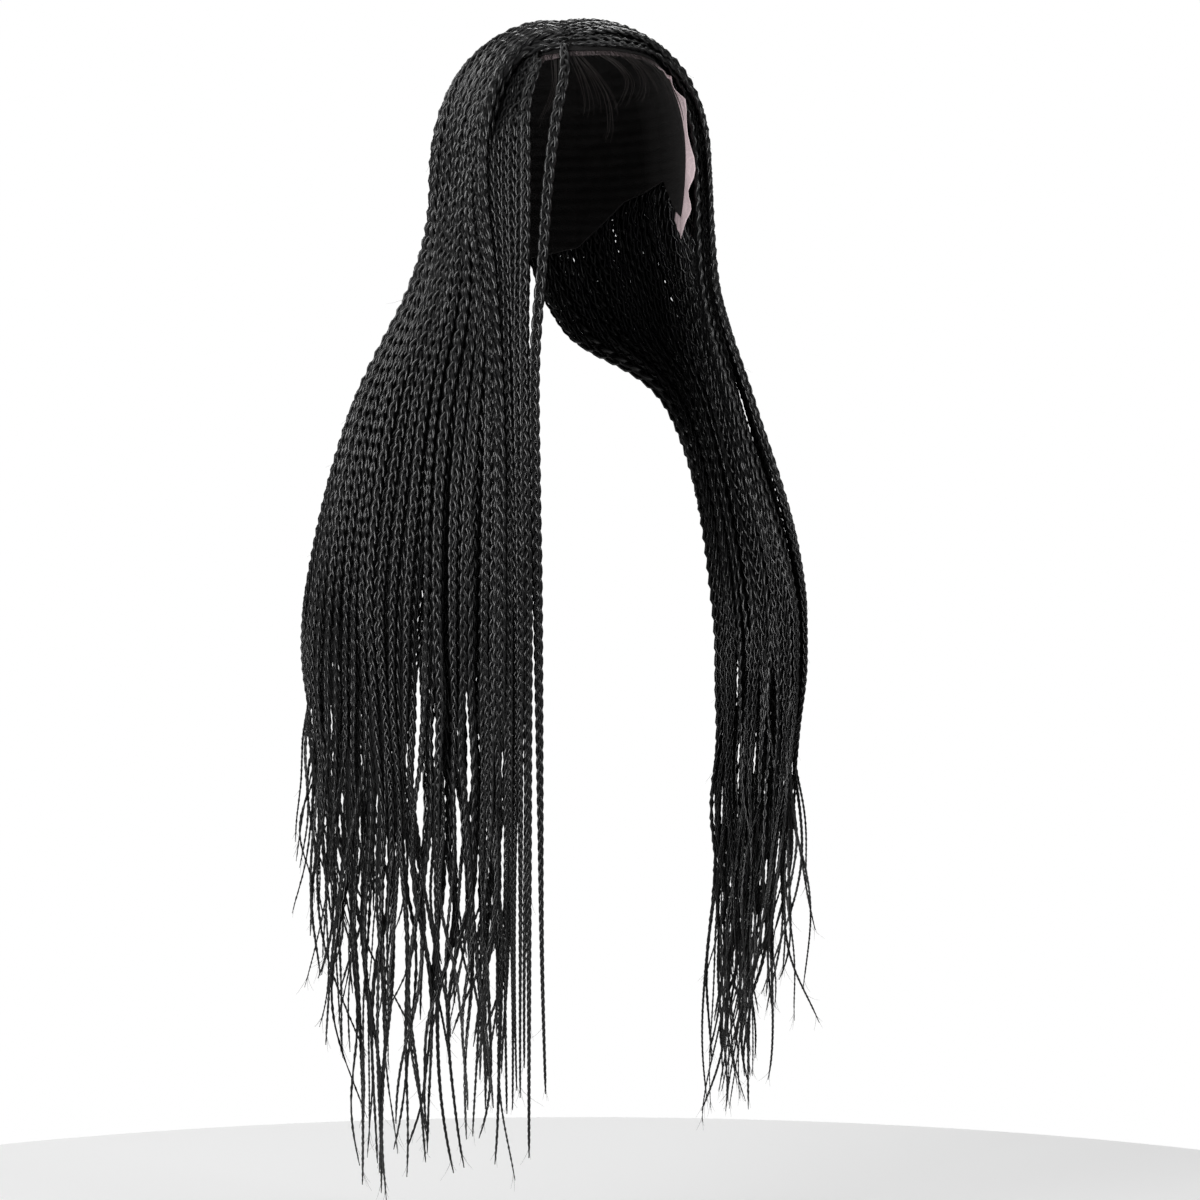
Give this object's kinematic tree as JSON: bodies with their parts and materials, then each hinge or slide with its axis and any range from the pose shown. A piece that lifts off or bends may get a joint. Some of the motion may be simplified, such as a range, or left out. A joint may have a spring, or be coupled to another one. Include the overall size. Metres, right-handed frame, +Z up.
{
  "type": "braid wig",
  "caption": "Long box-braid wig with a lace front, worn on the head: thin cap with braids parted off centre that fall over both shoulders.",
  "frame": {"origin": "inside of the cap at the top of the crown, where it sits on the head", "axes": "+Z up along the hanging braids, -Y towards the face, +X to the wearer's left"},
  "size_m": [0.339, 0.2602, 0.8331],
  "materials": {
    "braided_fibre": "black braided synthetic fibre, soft sheen",
    "cap_net": "black stretch net and wefts, matt",
    "lace_net": "pale pink lace net, matt"
  },
  "bodies": {
    "root": {"wig_cap": "cap_net", "lace_front": "lace_net", "lock_right_1": "braided_fibre", "lock_right_2": "braided_fibre", "lock_right_3": "braided_fibre", "lock_right_4": "braided_fibre", "lock_right_5": "braided_fibre", "lock_right_6": "braided_fibre", "lock_right_7": "braided_fibre", "lock_right_8": "braided_fibre", "lock_right_9": "braided_fibre", "lock_right_10": "braided_fibre", "lock_right_11": "braided_fibre", "lock_right_12": "braided_fibre", "lock_right_13": "braided_fibre", "lock_right_14": "braided_fibre", "lock_left_1": "braided_fibre", "lock_left_2": "braided_fibre", "lock_left_3": "braided_fibre", "lock_left_4": "braided_fibre", "lock_left_5": "braided_fibre", "lock_left_6": "braided_fibre", "lock_left_7": "braided_fibre", "lock_left_8": "braided_fibre", "front_braid_1": "braided_fibre", "front_braid_2": "braided_fibre"}
  },
  "joints": []
}
